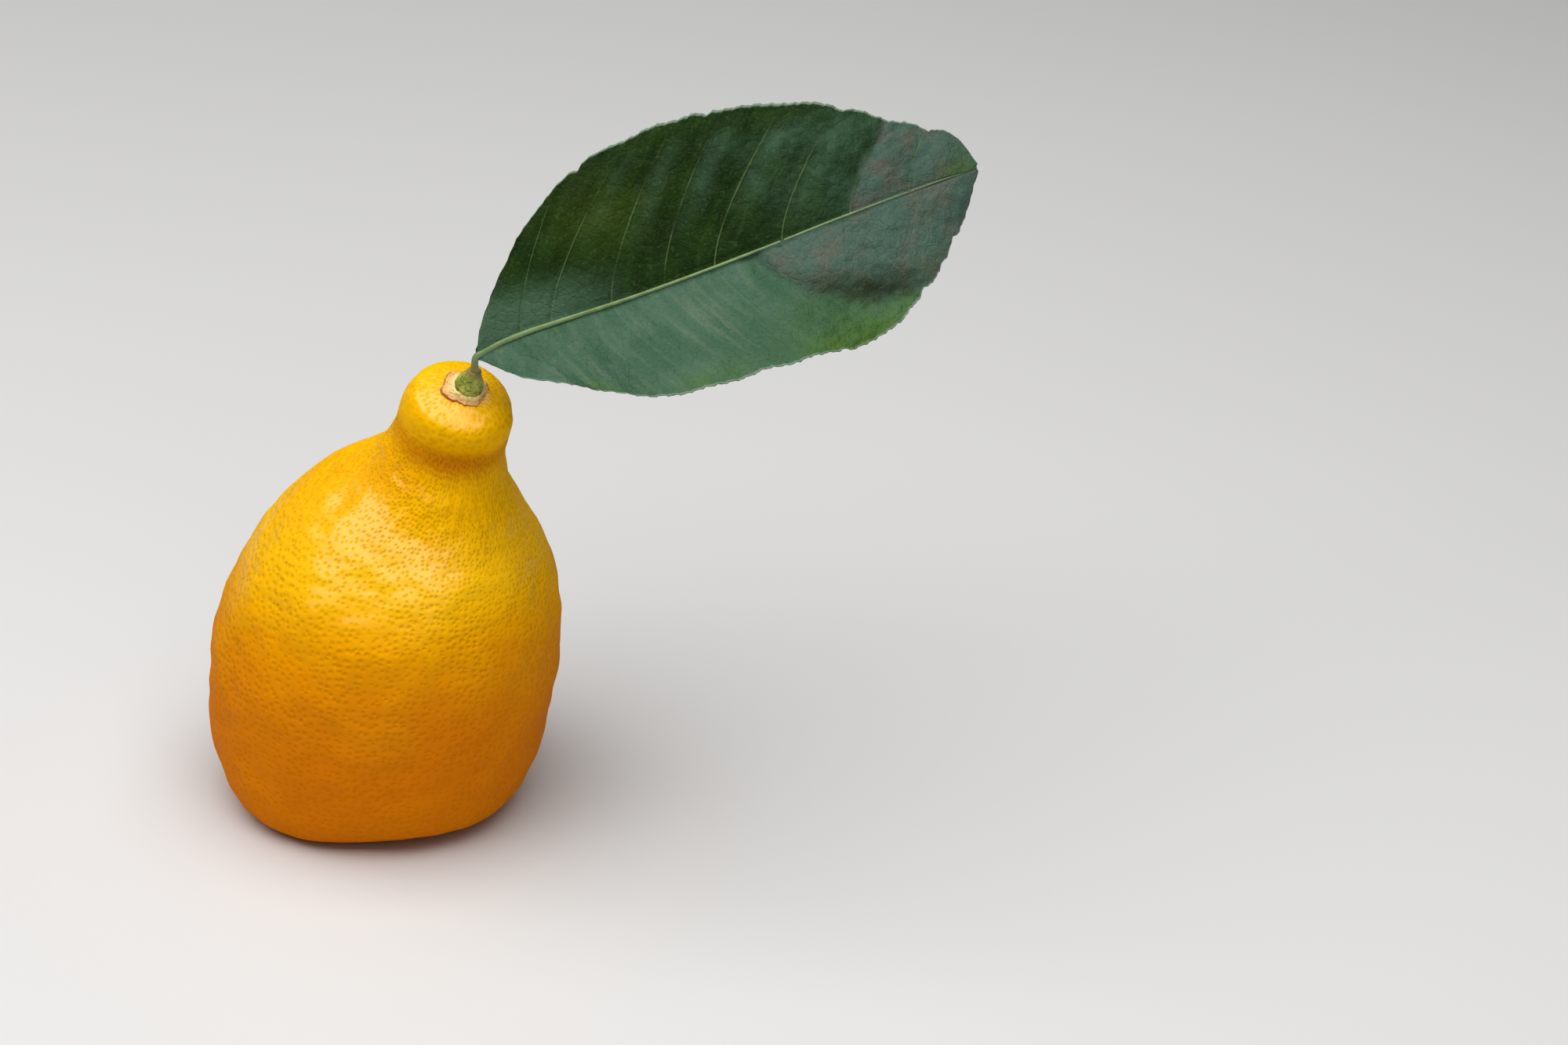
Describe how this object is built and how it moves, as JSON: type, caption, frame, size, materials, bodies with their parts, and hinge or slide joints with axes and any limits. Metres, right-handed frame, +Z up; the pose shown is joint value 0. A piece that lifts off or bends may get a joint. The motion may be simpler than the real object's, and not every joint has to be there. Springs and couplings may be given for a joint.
{
  "type": "lemon",
  "caption": "Ripe lemon standing on its blossom end, with a knobbed neck, calyx, green stem stub and a veined leaf held up to the side.",
  "frame": {"origin": "centre of the small flat spot on the blossom end that the fruit stands on, under the middle of its body", "axes": "+Z up out of the resting plane, -Y to the front, where the knob, the stem and the leaf's face look, +X to the side the leaf reaches out to"},
  "size_m": [0.1353, 0.0638, 0.1351],
  "materials": {
    "rind": "satin",
    "calyx": "matte",
    "stem": "matte",
    "leaf": "satin"
  },
  "bodies": {
    "root": {"fruit": "rind", "calyx": "calyx", "stem": "stem", "leaf": "leaf"}
  },
  "joints": []
}
